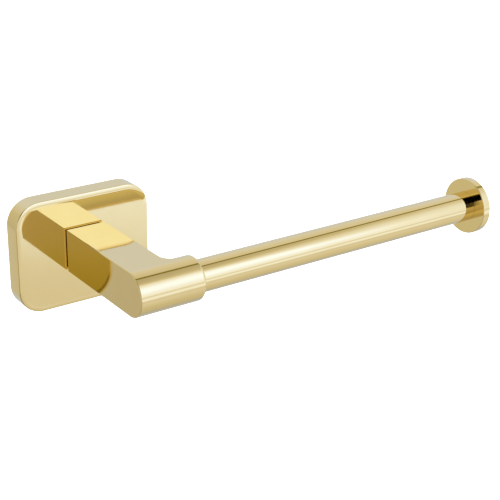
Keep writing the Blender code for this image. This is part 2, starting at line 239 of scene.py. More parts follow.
def studio_world():
    """A soft light dome: a bright front panel, a cool back, a seam overhead and a black flag on the left."""
    world = bpy.data.worlds.new("studio")
    bpy.context.scene.world = world
    world.use_nodes = True
    tree = Tree(world.node_tree)
    direction = tree.add("ShaderNodeTexCoord").outputs["Generated"]
    parts = tree.add("ShaderNodeSeparateXYZ", {"Vector": direction}).outputs
    elevation = in_degrees(tree, tree.math("ARCSINE", parts["Z"]))
    height = tree.math("MULTIPLY_ADD", elevation, 0.5 / ELEVATION_RANGE, 0.5)
    turn = in_degrees(tree, tree.math("ARCTAN2", parts["X"], tree.math("MULTIPLY", parts["Y"], -1.0)))

    level = wall_brightness(tree, height, FRONT_WALL)
    dimmer = tree.math("MULTIPLY", tree.smooth(turn, *DIMMER_TURNS), tree.smooth(elevation, *DIMMER_HEIGHTS))
    level = tree.math("MULTIPLY", level, tree.blend(dimmer, 1.0, DIMMER_LEVEL))
    right_back = tree.smooth(turn, *RIGHT_TURNS)
    level = tree.blend(right_back, level, wall_brightness(tree, height, BACK_WALL))
    for stops, start, stop in LEFT_SIDE:
        share = tree.smooth(turn, stop, start, 1.0, 0.0)
        level = tree.blend(share, level, wall_brightness(tree, height, stops))

    across = tree.math("ABSOLUTE", in_degrees(tree, tree.math("ARCSINE", parts["Y"])))
    seam = tree.smooth(across, 0.0, SEAM_HALF_WIDTH, SEAM_LEVEL, 1.0)
    level = tree.math("MULTIPLY", level, tree.blend(tree.smooth(elevation, *SEAM_HEIGHTS), 1.0, seam))

    flag = tree.smooth(parts["X"], *FLAG_LEFT)
    for part, edge in (("X", FLAG_RIGHT), ("Y", FLAG_BACK)):
        flag = tree.math("MULTIPLY", flag, tree.smooth(parts[part], *edge, 1.0, 0.0))
    over_foot = tree.math("SUBTRACT", parts["Z"], tree.smooth(parts["X"], *FLAG_STEP, *FLAG_FOOT))
    flag = tree.math("MULTIPLY", flag, tree.smooth(over_foot, 0.0, FLAG_FOOT_EDGE))
    flag_level = tree.smooth(parts["X"], *FLAG_THINNING, 0.0, FLAG_THIN_LEVEL)
    level = tree.math("MULTIPLY", level, tree.blend(flag, 1.0, flag_level))

    red = tree.math("MULTIPLY", level, BRIGHTEST)
    green = tree.math("MULTIPLY", red, colour_share(tree, level, GREEN_SHARE))
    blue = tree.math("MULTIPLY", red, colour_share(tree, level, BLUE_SHARE))
    behind = tree.math("MAXIMUM", right_back, tree.smooth(turn, *BEHIND_TURNS, 1.0, 0.0))
    behind = tree.math("MULTIPLY", behind, tree.smooth(elevation, *BEHIND_HEIGHTS, 1.0, 0.0))
    green = tree.math("MULTIPLY", green, tree.blend(behind, 1.0, BEHIND_GREEN))
    blue = tree.math("MULTIPLY", blue, tree.blend(behind, 1.0, BEHIND_BLUE))
    light = tree.add("ShaderNodeCombineColor", {"Red": red, "Green": green, "Blue": blue}).outputs[0]
    dome = tree.add("ShaderNodeBackground", {"Color": light, "Strength": 1.0})
    plain = tree.add("ShaderNodeBackground", {"Color": (1, 1, 1, 1), "Strength": BACKGROUND_WHITE})
    seen = tree.add("ShaderNodeLightPath").outputs["Is Camera Ray"]
    mixed = tree.add("ShaderNodeMixShader", {0: seen, 1: dome.outputs[0], 2: plain.outputs[0]})
    tree.add("ShaderNodeOutputWorld", {"Surface": mixed.outputs[0]})


FLOOR_HEIGHT = -0.62
FLOOR_SIZE = 8.0
FLOOR_GREY = 0.93
FLOOR_ROUGHNESS = 0.9


def studio_floor():
    """A plain pale floor well under the holder."""
    mesh = bmesh.new()
    half = FLOOR_SIZE / 2
    corners = [(-half, -half), (half, -half), (half, half), (-half, half)]
    mesh.faces.new([mesh.verts.new((x, y, FLOOR_HEIGHT)) for x, y in corners])
    data = bpy.data.meshes.new("studio_floor")
    mesh.to_mesh(data)
    mesh.free()
    floor = bpy.data.objects.new("studio_floor", data)
    bpy.context.scene.collection.objects.link(floor)
    material = bpy.data.materials.new("pale_floor")
    material.use_nodes = True
    tree = Tree(material.node_tree)
    shader = tree.add("ShaderNodeBsdfPrincipled", {
        "Base Color": (FLOOR_GREY, FLOOR_GREY, FLOOR_GREY, 1),
        "Roughness": FLOOR_ROUGHNESS,
        "Emission Color": (1, 1, 1, 1),
        "Emission Strength": BACKGROUND_WHITE,
    })
    tree.add("ShaderNodeOutputMaterial", {"Surface": shader.outputs[0]})
    data.materials.append(material)
    floor.visible_glossy = False
    floor.visible_diffuse = False


def colour_management():
    """Plain display colours, without a film look."""
    view = bpy.context.scene.view_settings
    view.view_transform = "Standard"
    view.look = "None"


# ---------------------------------------------------------------- materials

CLOUD_EDGES = (0.35, 0.65)      # the part of a noise pattern over which a colour changes
GRAIN_EDGES = (0.3, 0.7)        # the part of a noise pattern over which the roughness changes
RELIEF_DEPTH = 0.0001

GOLD = ((0.93, 0.745, 0.34, 1), (0.92, 0.73, 0.325, 1))
GOLD_CLOUDS = 70.0
GOLD_GRAIN = 420.0
GOLD_ROUGHNESS = (0.035, 0.06)
GOLD_RELIEF = 0.01

FINE_GRAIN = 12                 # grains across one cloud
TOOL_LINE_WAVER = 0.6
TOOL_LINE_HEIGHT = 0.5


def polished_gold():
    """Mirror-polished gold plating with a faint cloudy tint and a very fine grain."""
    material = bpy.data.materials.new("gold_finish")
    material.use_nodes = True
    tree = Tree(material.node_tree)
    where = tree.add("ShaderNodeTexCoord").outputs["Object"]
    cloud = tree.noise(where, GOLD_CLOUDS, 3.0)
    tint = tree.add("ShaderNodeMix", {
        0: tree.smooth(cloud, *CLOUD_EDGES), 6: GOLD[0], 7: GOLD[1],
    }, data_type="RGBA").outputs[2]
    grain = tree.noise(where, GOLD_GRAIN, 4.0)
    roughness = tree.smooth(grain, *GRAIN_EDGES, *GOLD_ROUGHNESS)
    bump = tree.add("ShaderNodeBump", {"Height": grain, "Strength": GOLD_RELIEF, "Distance": RELIEF_DEPTH})
    shader = tree.add("ShaderNodeBsdfPrincipled", {
        "Base Color": tint, "Roughness": roughness, "Metallic": 1.0, "Normal": bump.outputs[0],
    })
    tree.add("ShaderNodeOutputMaterial", {"Surface": shader.outputs[0]})
    return material


def fine_finish(name, colours, roughness, metallic, scale, relief, lines=0.0):
    """A finish with cloudy colour, fine grain in its roughness and relief, and optional tool lines."""
    material = bpy.data.materials.new(name)
    material.use_nodes = True
    tree = Tree(material.node_tree)
    where = tree.add("ShaderNodeTexCoord").outputs["Object"]
    cloud = tree.noise(where, scale, 4.0)
    tint = tree.add("ShaderNodeMix", {
        0: tree.smooth(cloud, *CLOUD_EDGES), 6: (*colours[0], 1), 7: (*colours[1], 1),
    }, data_type="RGBA").outputs[2]
    grain = tree.noise(where, scale * FINE_GRAIN, 6.0)
    height = grain
    if lines:
        bands = tree.add("ShaderNodeTexWave", {
            "Vector": where, "Scale": lines, "Distortion": TOOL_LINE_WAVER,
        }, bands_direction="X").outputs["Fac"]
        height = tree.math("ADD", grain, tree.math("MULTIPLY", bands, TOOL_LINE_HEIGHT))
    bump = tree.add("ShaderNodeBump", {"Height": height, "Strength": relief, "Distance": RELIEF_DEPTH})
    shader = tree.add("ShaderNodeBsdfPrincipled", {
        "Base Color": tint, "Roughness": tree.smooth(grain, *GRAIN_EDGES, *roughness), "Metallic": metallic,
        "Normal": bump.outputs[0],
    })
    tree.add("ShaderNodeOutputMaterial", {"Surface": shader.outputs[0]})
    return material


# ---------------------------------------------------------------- mesh helpers

SHARP_ANGLE = 32.0
WELD = 1e-7
COPY_WELD = 1e-6
SAME_PLANE = 0.5            # degrees
DRILL_SIDES = 48
FINE_SIDES = 160


def weld(mesh, distance=WELD):
    """Join the points that lie on each other."""
    bmesh.ops.remove_doubles(mesh, verts=mesh.verts, dist=distance)


def to_object(name, mesh):
    """Put a finished bmesh in the scene, with its faces turned outwards."""
    bmesh.ops.recalc_face_normals(mesh, faces=mesh.faces)
    if mesh.calc_volume(signed=True) < 0:
        bmesh.ops.reverse_faces(mesh, faces=mesh.faces)
    data = bpy.data.meshes.new(name)
    mesh.to_mesh(data)
    mesh.free()
    piece = bpy.data.objects.new(name, data)
    bpy.context.scene.collection.objects.link(piece)
    return piece


def settle(piece):
    """Replace the piece's mesh by the result of its modifiers."""
    graph = bpy.context.evaluated_depsgraph_get()
    data = bpy.data.meshes.new_from_object(piece.evaluated_get(graph))
    piece.modifiers.clear()
    piece.data = data


def cut(piece, tool):
    """Subtract a tool and throw it away."""
    boolean = piece.modifiers.new("cut", "BOOLEAN")
    boolean.object = tool
    boolean.operation = "DIFFERENCE"
    boolean.solver = "EXACT"
    settle(piece)
    bpy.data.objects.remove(tool, do_unlink=True)


def bevel(piece, width, segments=3, by_weight=False):
    """Round the sharp edges, or the weighted ones."""
    rounding = piece.modifiers.new("rounding", "BEVEL")
    rounding.width = width
    rounding.segments = segments
    rounding.limit_method = "WEIGHT" if by_weight else "ANGLE"
    rounding.angle_limit = math.radians(SHARP_ANGLE)
    rounding.use_clamp_overlap = not by_weight
    settle(piece)


def shade(piece):
    """Smooth shading with true flats: big faces decide the normals round them."""
    piece.data.shade_smooth()
    piece.data.set_sharp_from_angle(angle=math.radians(SHARP_ANGLE))
    normals = piece.modifiers.new("flat_faces", "WEIGHTED_NORMAL")
    normals.mode = "FACE_AREA"
    normals.weight = 100
    normals.keep_sharp = True


def place(piece, node, material, body):
    """The piece takes over from its CAD node and body."""
    piece.data.materials.clear()
    piece.data.materials.append(material)
    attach(piece, body)
    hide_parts(node)


def skin(mesh, rings, closed=False):
    """Faces between neighbouring rings of points, then two end caps or a join from the last to the first."""
    pairs = list(zip(rings, rings[1:])) + ([(rings[-1], rings[0])] if closed else [])
    for near, far in pairs:
        for i in range(len(near)):
            mesh.faces.new((near[i - 1], near[i], far[i], far[i - 1]))
    if not closed:
        mesh.faces.new(rings[0])
        mesh.faces.new(rings[-1])


def lathe(name, profile, origin, along, sides):
    """Turn a profile of (distance, radius) points round an axis; ends on the axis become flat caps."""
    mesh = bmesh.new()
    turn_to = Vector((1, 0, 0)).rotation_difference(Vector(along)).to_matrix()
    rings = []
    for distance, radius in profile:
        if radius <= 0:
            continue
        ring = []
        for i in range(sides):
            angle = 2 * math.pi * i / sides
            point = Vector((distance, radius * math.sin(angle), radius * math.cos(angle)))
            ring.append(mesh.verts.new(Vector(origin) + turn_to @ point))
        rings.append(ring)
    skin(mesh, rings, closed=all(radius > 0 for distance, radius in profile))
    return to_object(name, mesh)


def quarter(center, across, along, start, end, steps):
    """Points on an elliptical arc, both ends included; angles in degrees."""
    points = []
    for step in range(steps + 1):
        angle = math.radians(start + (end - start) * step / steps)
        points.append((center[0] + across * math.cos(angle), center[1] + along * math.sin(angle)))
    return points


def drill(piece, origin, along, radius, depth):
    """A round hole from the origin, as deep as told."""
    cut(piece, lathe("drill", [(0, 0), (0, radius), (depth, radius), (depth, 0)], origin, along, DRILL_SIDES))


def middle(node):
    """The centre of a CAD node's box."""
    low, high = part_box(node)
    return (low + high) / 2


def span(node, axis):
    """Where the CAD node starts and stops along one axis."""
    low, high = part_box(node)
    return low[axis], high[axis]


def copy_of(node, name):
    """A clean copy of a CAD node's mesh, with its flat faces whole again."""
    mesh = bmesh.new()
    mesh.from_mesh(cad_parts[node].data)
    weld(mesh, COPY_WELD)
    bmesh.ops.dissolve_limit(mesh, angle_limit=math.radians(SAME_PLANE), verts=mesh.verts, edges=mesh.edges)
    return to_object(name, mesh)


# ---------------------------------------------------------------- gold pieces

PLATE_CORNER = 10 * MM
PLATE_WALL = 1.8 * MM
PLATE_CROWN = 2.6 * MM
PLATE_CROWN_DEPTH = 0.65 * MM
CROWN_STEPS = 14
CORNER_STEPS = 20
RIM_EDGE = 0.25 * MM
INNER_EDGE = 0.8 * MM
EASED = 0.3                 # how far the middle point of a two-step rounding stands in from its ends
BOLT_HOLE = 2.8 * MM
BOLT_HOLE_DEPTH = 13.5 * MM
PIN_HOLE = 1.7 * MM
SET_SCREW_HOLE = 2.2 * MM
THROUGH = 5 * MM


def rounded_rectangle(half_width, half_height, corner):
    """Points round a rectangle with rounded corners, centred on the origin."""
    outline = []
    for turn, (side, top) in enumerate([(1, 1), (-1, 1), (-1, -1), (1, -1)]):
        center = (side * (half_width - corner), top * (half_height - corner))
        outline += quarter(center, corner, corner, 90 * turn, 90 * (turn + 1), CORNER_STEPS)
    return outline


def plate_shell():
    """The wall plate: upright sides, a crowned front edge, a flat front and a hollow back."""
    low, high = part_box("rosette_cover")
    front, rim = low.y, high.y
    sections = [(rim, RIM_EDGE), (rim - RIM_EDGE * EASED, RIM_EDGE * EASED), (rim - RIM_EDGE, 0.0)]
    for step in range(CROWN_STEPS + 1):
        angle = math.radians(90 * step / CROWN_STEPS)
        depth = front + PLATE_CROWN_DEPTH * (1 - math.sin(angle))
        sections.append((depth, PLATE_CROWN * (1 - math.cos(angle))))
    floor = front + PLATE_WALL
    inside = [(floor, PLATE_WALL + INNER_EDGE), (floor + INNER_EDGE * EASED, PLATE_WALL + INNER_EDGE * EASED),
              (floor + INNER_EDGE, PLATE_WALL), (rim - RIM_EDGE, PLATE_WALL), (rim, PLATE_WALL - RIM_EDGE)]
    mesh = bmesh.new()
    rings = []
    for depth, inset in sections + inside:
        outline = rounded_rectangle(high.x - inset, high.z - inset, PLATE_CORNER - inset)
        rings.append([mesh.verts.new((x, depth, z)) for x, z in outline])
    last_outer = len(sections) - 1
    for near in range(len(rings)):
        if near == last_outer:
            continue
        far = (near + 1) % len(rings)
        for i in range(len(rings[near])):
            mesh.faces.new((rings[near][i - 1], rings[near][i], rings[far][i], rings[far][i - 1]))
    mesh.faces.new(rings[last_outer])
    mesh.faces.new(rings[last_outer + 1])
    weld(mesh)
    shell = to_object("plate_shell", mesh)
    drill(shell, (0, front - MM, middle("arm_bolt").z), (0, 1, 0), BOLT_HOLE, THROUGH)
    for node in ("arm_pin_lower", "arm_pin_upper"):
        drill(shell, (middle(node).x, front - MM, middle(node).z), (0, 1, 0), PIN_HOLE, THROUGH)
    drill(shell, (0, middle("rosette_set_screw").y, low.z - MM), (0, 0, 1), SET_SCREW_HOLE, THROUGH)
    shade(shell)
    return shell


FLARE_RADIUS = 5.7 * MM
FLARE_STOP = 1.2 * MM
FLARE_TAIL = 3.6 * MM
COLLAR_EDGE = 1.3 * MM
COLLAR_LIP = 0.15 * MM
BORE_RADIUS = 6.42 * MM
POCKET_END = -4 * MM
ARM_ROUNDING = 0.28 * MM
LEFT_ROUNDING = 0.42 * MM
BACK_ROUNDING = 0.6 * MM
ROUNDING_FADE = 1.2 * MM
ROUND_STEPS = 90
FLARE_STEPS = 24
TAIL_STEPS = 8
MEETING_STEPS = 16
COLLAR_EDGE_STEPS = 8
ARM_WELD = 2e-6
ON_PLANE = 5e-6
OUTLINE_ANGLE = 60
BAR_SCREW_DEPTH = 4 * MM


def arm_body():
    """Square post with a half-round front end, a round collar to its right and a concave corner between."""
    low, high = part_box("arm")
    side, end = -low.x, high.x
    radius, axis_z = (high.z - low.z) / 2, (high.z + low.z) / 2
    axis_y = low.y + radius
    back = high.y - axis_y
    mesh = bmesh.new()

    def spot(x, y, z):
        return mesh.verts.new((x, axis_y + y, axis_z + z))

    def face(points):
        mesh.faces.new([spot(*point) for point in points])

    flare_center = (side + FLARE_RADIUS, FLARE_STOP + FLARE_RADIUS)
    path = quarter(flare_center, FLARE_RADIUS, FLARE_RADIUS, 180, 270, FLARE_STEPS)
    for step in range(1, TAIL_STEPS + 1):
        share = step / TAIL_STEPS
        ease = share * share * (3 - 2 * share)
        path.append((flare_center[0] + FLARE_TAIL * share, FLARE_STOP * (1 - ease)))
    drop = [math.sqrt(radius ** 2 - y ** 2) for x, y in path]

    # where the back of the collar starts: (x, angle from the top) down to the middle of its height
    meeting = [(x, math.asin(y / radius)) for x, y in reversed(path)]
    first = meeting[-1][1]
    for step in range(1, MEETING_STEPS + 1):
        meeting.append((side, first + (math.pi / 2 - first) * step / MEETING_STEPS))
    meeting += [(x, math.pi - angle) for x, angle in reversed(meeting[:-1])]
    front_angles = [math.pi + math.pi * step / ROUND_STEPS for step in range(ROUND_STEPS + 1)]

    def on_round(x, angle, size=radius):
        return (x, size * math.sin(angle), size * math.cos(angle))

    edge_start = end - COLLAR_EDGE
    for (x, angle), (next_x, next_angle) in zip(meeting, meeting[1:]):
        face([on_round(x, angle), on_round(next_x, next_angle), on_round(edge_start, next_angle),
              on_round(edge_start, angle)])
    tail_x = path[-1][0]
    for index, (angle, next_angle) in enumerate(zip(front_angles, front_angles[1:])):
        corners = [on_round(-side, angle), on_round(-side, next_angle), on_round(edge_start, next_angle),
                   on_round(edge_start, angle)]
        if index == 0:
            corners.append(on_round(tail_x, angle))
        if index == ROUND_STEPS - 1:
            corners.insert(2, on_round(tail_x, next_angle))
        face(corners)

    for sign in (1, -1):
        outline = [(-side, back), (side, back)] + path + [(-side, 0)]
        face([(x, y, sign * radius) for x, y in outline])
        for i in range(len(path) - 1):
            (x, y), (next_x, next_y) = path[i], path[i + 1]
            corners = [(x, y, sign * radius), (next_x, next_y, sign * radius),
                       (next_x, next_y, sign * drop[i + 1]), (x, y, sign * drop[i])]
            if i == len(path) - 2:
                corners.pop(2)
            face(corners)

    flat_y = path[0][1]
    right = [(side, back, radius), (side, flat_y, radius)]
    right += [on_round(side, angle) for x, angle in meeting if abs(x - side) < WELD]
    right += [(side, flat_y, -radius), (side, back, -radius)]
    face(right)
    half_round = [on_round(-side, angle) for angle in front_angles]
    face([(-side, back, -radius)] + half_round + [(-side, back, radius)])
    face([(-side, back, -radius), (side, back, -radius), (side, back, radius), (-side, back, radius)])

    angles = [angle for x, angle in meeting] + front_angles[1:-1]
    profile = quarter((edge_start, radius - COLLAR_EDGE), COLLAR_EDGE, COLLAR_EDGE, 90, 0, COLLAR_EDGE_STEPS)
    profile += [(end, BORE_RADIUS + COLLAR_LIP), (end - COLLAR_LIP, BORE_RADIUS), (POCKET_END, BORE_RADIUS)]
    for (x, size), (next_x, next_size) in zip(profile, profile[1:]):
        for i in range(len(angles)):
            face([on_round(x, angles[i - 1], size), on_round(x, angles[i], size),
                  on_round(next_x, angles[i], next_size), on_round(next_x, angles[i - 1], next_size)])
    face([on_round(POCKET_END, angle, BORE_RADIUS) for angle in angles])
    weld(mesh, ARM_WELD)

    # the roundings: full round the back, less on the left, least on top and below, fading out at the flare
    weight = mesh.edges.layers.float.new("bevel_weight_edge")
    plain = ARM_ROUNDING / BACK_ROUNDING
    for edge in mesh.edges:
        if len(edge.link_faces) != 2 or edge.calc_face_angle(0) <= math.radians(OUTLINE_ANGLE):
            continue
        ends = [(v.co.x, v.co.y - axis_y, v.co.z - axis_z) for v in edge.verts]
        on_left = all(abs(x + side) < ON_PLANE for x, y, z in ends)
        on_back = all(abs(y - back) < ON_PLANE for x, y, z in ends)
        on_flat = all(abs(abs(z) - radius) < ON_PLANE and y > ON_PLANE for x, y, z in ends)
        if on_back:
            edge[weight] = 1.0
        elif on_left:
            edge[weight] = LEFT_ROUNDING / BACK_ROUNDING
        elif on_flat:
            nearest = min(y for x, y, z in ends)
            fall = radius - math.sqrt(max(radius ** 2 - nearest ** 2, 0))
            edge[weight] = plain * min(1.0, fall / ROUNDING_FADE)
    body = to_object("arm_body", mesh)
    bevel(body, BACK_ROUNDING, by_weight=True)
    drill(body, (0, high.y + MM, middle("arm_bolt").z), (0, -1, 0), BOLT_HOLE, BOLT_HOLE_DEPTH)
    for node in ("arm_pin_lower", "arm_pin_upper"):
        drill(body, (middle(node).x, high.y + MM, middle(node).z), (0, -1, 0), PIN_HOLE, THROUGH)
    drill(body, (middle("bar_set_screw").x, axis_y, low.z - MM), (0, 0, 1), SET_SCREW_HOLE, BAR_SCREW_DEPTH)
    shade(body)
    return body


BAR_BORE = 5.05 * MM
BAR_EDGE = 0.2 * MM
BAR_REACH = 0.26 * MM           # the tube goes on to the disc's face
TUBE_HOLE_DEPTH = 3 * MM


def roll_bar():
    """A tube with a hole below for its set screw."""
    low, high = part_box("bar_tube")
    radius, length = (high.z - low.z) / 2, high.x - low.x + BAR_REACH
    origin = (low.x, (low.y + high.y) / 2, (low.z + high.z) / 2)
    profile = [(0, BAR_BORE), (0, radius - BAR_EDGE), (BAR_EDGE, radius),
               (length, radius), (length, BAR_BORE)]
    tube = lathe("roll_bar", profile, origin, (1, 0, 0), FINE_SIDES)
    hole = (middle("bar_set_screw").x, origin[1], low.z - MM)
    drill(tube, hole, (0, 0, 1), SET_SCREW_HOLE, TUBE_HOLE_DEPTH)
    shade(tube)
    return tube


DISC_THICKNESS = 3.6 * MM
DISC_EDGE = 0.35 * MM
DISC_EDGE_STEPS = 6
SPIGOT_RADIUS = 4.75 * MM
SPIGOT_CHAMFER = 0.4 * MM
STUD_HOLE = 2.3 * MM
STUD_HOLE_FLOOR = 1.2 * MM


def stop_disc():
    """A flat disc with softened rims, and behind it a spigot that enters the tube, bored for the stud."""
    low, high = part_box("end_disc")
    radius, length = (high.z - low.z) / 2, high.x - low.x
    face = length - DISC_THICKNESS
    origin = (low.x, (low.y + high.y) / 2, (low.z + high.z) / 2)
    profile = [(0, 0), (0, STUD_HOLE + SPIGOT_CHAMFER), (0, SPIGOT_RADIUS - SPIGOT_CHAMFER),
               (SPIGOT_CHAMFER, SPIGOT_RADIUS), (face, SPIGOT_RADIUS)]
    rim = radius - DISC_EDGE
    profile += quarter((face + DISC_EDGE, rim), DISC_EDGE, DISC_EDGE, 180, 90, DISC_EDGE_STEPS)
    profile += quarter((length - DISC_EDGE, rim), DISC_EDGE, DISC_EDGE, 90, 0, DISC_EDGE_STEPS)
    profile += [(length, 0)]
    disc = lathe("stop_disc", profile, origin, (1, 0, 0), FINE_SIDES)
    drill(disc, (low.x - MM, origin[1], origin[2]), (1, 0, 0), STUD_HOLE, length - STUD_HOLE_FLOOR + MM)
    shade(disc)
    return disc


# ---------------------------------------------------------------- hardware

SMALL_SIDES = 40
SOCKET_FLOOR = 0.3          # depth of a socket's tapered floor, as a share of its corner radius
LEAD_IN = 0.5 * MM          # how far outside a piece its cutting tool starts

RING_EDGE = 0.25            # a washer's softened rim, as a share of its thickness
SPRING_STEPS = 60
SPRING_TWIST = 0.12 * MM
SPRING_GAP = math.radians(7)
SPRING_EDGE = 0.08 * MM

THREAD_STEPS = 8            # rings of points along each turn of a thread
THREAD_SHARPNESS = 1.25     # above 1, the grooves have flat floors

# Each thread: where it starts and stops along its piece, its pitch and its depth
BOLT_THREAD = (0.1 * MM, 14.5 * MM, 0.8 * MM, 0.42 * MM)
GRUB_PITCH, GRUB_DEPTH = 0.7 * MM, 0.3 * MM
STUD_PITCH, STUD_DEPTH = 0.7 * MM, 0.36 * MM
END_MARGIN = 0.05 * MM
WALL_PITCH, WALL_DEPTH = 1.5 * MM, 0.45 * MM


def washer(node, name, inner):
    """A flat ring with softened rims."""
    start, stop = span(node, 1)
    low, high = span(node, 0)
    outer, thickness = (high - low) / 2, stop - start
    edge = thickness * RING_EDGE
    profile = [(0, inner + edge), (0, outer - edge), (edge, outer), (thickness - edge, outer),
               (thickness, outer - edge), (thickness, inner + edge), (thickness - edge, inner), (edge, inner)]
    center = middle(node)
    ring = lathe(name, profile, (center.x, start, center.z), (0, 1, 0), SMALL_SIDES)
    shade(ring)
    return ring


def split_washer(node, name, inner):
    """A spring washer: a square wire turned once, with its two ends a little out of line."""
    start, stop = span(node, 1)
    low, high = span(node, 0)
    outer, center, edge = (high - low) / 2, middle(node), SPRING_EDGE
    mesh = bmesh.new()
    rings = []
    for step in range(SPRING_STEPS + 1):
        share = step / SPRING_STEPS
        angle = SPRING_GAP + (2 * math.pi - 2 * SPRING_GAP) * share
        near, far = start + SPRING_TWIST * (1 - share), stop - SPRING_TWIST * share
        section = [(inner + edge, near), (outer - edge, near), (outer, near + edge), (outer, far - edge),
                   (outer - edge, far), (inner + edge, far), (inner, far - edge), (inner, near + edge)]
        rings.append([mesh.verts.new((center.x + r * math.cos(angle), y, center.z + r * math.sin(angle)))
                      for r, y in section])
    skin(mesh, rings)
    ring = to_object(name, mesh)
    shade(ring)
    return ring


def threaded(name, profile, thread, origin, along):
    """A turned piece with a helical thread between two distances; the thread fades in and out at its ends."""
    start, stop, pitch, depth = thread
    steps = max(2, round((stop - start) / pitch * THREAD_STEPS))
    marks = [start + (stop - start) * step / steps for step in range(steps + 1)]
    stations = []
    for (x, r), (next_x, next_r) in zip(profile, profile[1:]):
        stations.append((x, r))
        for mark in marks:
            if x < mark < next_x:
                stations.append((mark, r + (next_r - r) * (mark - x) / (next_x - x)))
    stations.append(profile[-1])
    mesh = bmesh.new()
    turn_to = Vector((1, 0, 0)).rotation_difference(Vector(along)).to_matrix()
    rings = []
    for distance, radius in stations:
        if radius <= 0:
            continue
        fade = min(1.0, max(0.0, min(distance - start, stop - distance) / pitch))
        ring = []
        for i in range(SMALL_SIDES):
            turn = i / SMALL_SIDES
            angle = 2 * math.pi * turn
            phase = (distance / pitch - turn) % 1.0
            groove = min(1.0, (1 - abs(2 * phase - 1)) * THREAD_SHARPNESS)
            size = radius - depth * fade * groove if start < distance < stop else radius
            point = Vector((distance, size * math.sin(angle), size * math.cos(angle)))
            ring.append(mesh.verts.new(Vector(origin) + turn_to @ point))
        rings.append(ring)
    skin(mesh, rings)
    return to_object(name, mesh)


def hexagon(piece, origin, along, across, depth):
    """A hexagon socket with a tapered bottom."""
    corner = across / math.sqrt(3)
    floor = depth + corner * SOCKET_FLOOR
    profile = [(0, 0), (0, corner), (depth, corner), (floor, corner * SOCKET_FLOOR), (floor, 0)]
    cut(piece, lathe("socket", profile, origin, along, 6))


def domed_head(start, radius, height, flat_share):
    """Profile points over a button head, from its widest ring to the flat top."""
    flat, steps = radius * flat_share, 6
    return [(start + height * math.sin(math.radians(90 * i / steps)),
             flat + (radius - flat) * math.cos(math.radians(90 * i / steps))) for i in range(steps + 1)]


def arm_bolt():
    """Button-head bolt pointing forwards, with its hexagon socket at the back."""
    start, stop = span("arm_bolt", 1)
    low, high = span("arm_bolt", 0)
    center = middle("arm_bolt")
    head, radius, shank = (high - low) / 2, 2.5 * MM, 16 * MM
    tip, height = 0.5 * MM, stop - start - shank
    seat_edge, seat_rise, dome_start = 0.2 * MM, 0.15 * MM, 0.4 * MM
    profile = [(0, 0), (0, radius - tip), (tip, radius), (shank, radius), (shank, head - seat_edge),
               (shank + seat_rise, head)]
    profile += domed_head(shank + dome_start, head, height - dome_start, 0.62) + [(shank + height, 0)]
    bolt = threaded("arm_bolt_piece", profile, BOLT_THREAD, (center.x, start, center.z), (0, 1, 0))
    hexagon(bolt, (center.x, stop + LEAD_IN, center.z), (0, -1, 0), 3 * MM, 1.9 * MM)
    shade(bolt)
    return bolt


def grub_screw(node, name):
    """A headless set screw pointing up, with a cup point and a hexagon socket below."""
    start, stop = span(node, 2)
    low, high = span(node, 0)
    center, radius, length = middle(node), (high - low) / 2, stop - start
    tip, edge, cup_rim, cup_floor = 0.45 * MM, 0.3 * MM, 0.55, 0.25
    profile = [(0, 0), (0, radius - edge), (edge, radius), (length - tip, radius), (length, radius - tip),
               (length, radius * cup_rim), (length - edge, radius * cup_floor), (length - edge, 0)]
    thread = (END_MARGIN, length - END_MARGIN, GRUB_PITCH, GRUB_DEPTH)
    screw = threaded(name, profile, thread, (center.x, center.y, start), (0, 0, 1))
    hexagon(screw, (center.x, center.y, start - LEAD_IN), (0, 0, 1), 2 * MM, 1.9 * MM)
    shade(screw)
    return screw


def disc_stud():
    """A threaded rod with chamfered ends."""
    start, stop = span("disc_stud", 0)
    low, high = span("disc_stud", 2)
    center, radius, length, tip = middle("disc_stud"), (high - low) / 2, stop - start, 0.5 * MM
    profile = [(0, 0), (0, radius - tip), (tip, radius),
               (length - tip, radius), (length, radius - tip), (length, 0)]
    thread = (END_MARGIN, length - END_MARGIN, STUD_PITCH, STUD_DEPTH)
    stud = threaded("disc_stud_piece", profile, thread, (start, center.y, center.z), (1, 0, 0))
    shade(stud)
    return stud


def recess_slot(center, start, half_width, half_height):
    """One arm of a cross recess: a slot that narrows with its depth."""
    deep = 1.4 * MM
    mesh = bmesh.new()
    rings = []
    for depth, shrink in ((-LEAD_IN, 1.0), (deep * 0.4, 0.95), (deep, 0.4)):
        rings.append([mesh.verts.new((center.x + x * half_width * shrink, start + depth,
                                      center.z + z * half_height * shrink))
                      for x, z in ((1, 1), (-1, 1), (-1, -1), (1, -1))])
    skin(mesh, rings)
    return to_object("recess", mesh)


def wall_screw(node, name):
    """Pan-head screw: domed head with a cross recess, plain neck, coarse thread and a sharp tip."""
    start, stop = span(node, 1)
    low, high = span(node, 0)
    center, head, length = middle(node), (high - low) / 2, stop - start
    height, radius, point, tip = 2.2 * MM, 1.7 * MM, 3.5 * MM, 0.2 * MM
    seat_edge, neck, plain_tip = 0.2 * MM, 2.5 * MM, 0.4 * MM
    crown = height - 0.3 * MM
    dome = [(crown - distance, size) for distance, size in reversed(domed_head(0, head, crown, 0.55))]
    profile = [(0, 0)] + dome + [(height, head - seat_edge), (height, radius), (length - point, radius),
                                 (length, tip), (length, 0)]
    thread = (height + neck, length - plain_tip, WALL_PITCH, WALL_DEPTH)
    screw = threaded(name, profile, thread, (center.x, start, center.z), (0, 1, 0))
    long_half, short_half = 1.8 * MM, 0.42 * MM
    cut(screw, recess_slot(center, start, long_half, short_half))
    cut(screw, recess_slot(center, start, short_half, long_half))
    shade(screw)
    return screw


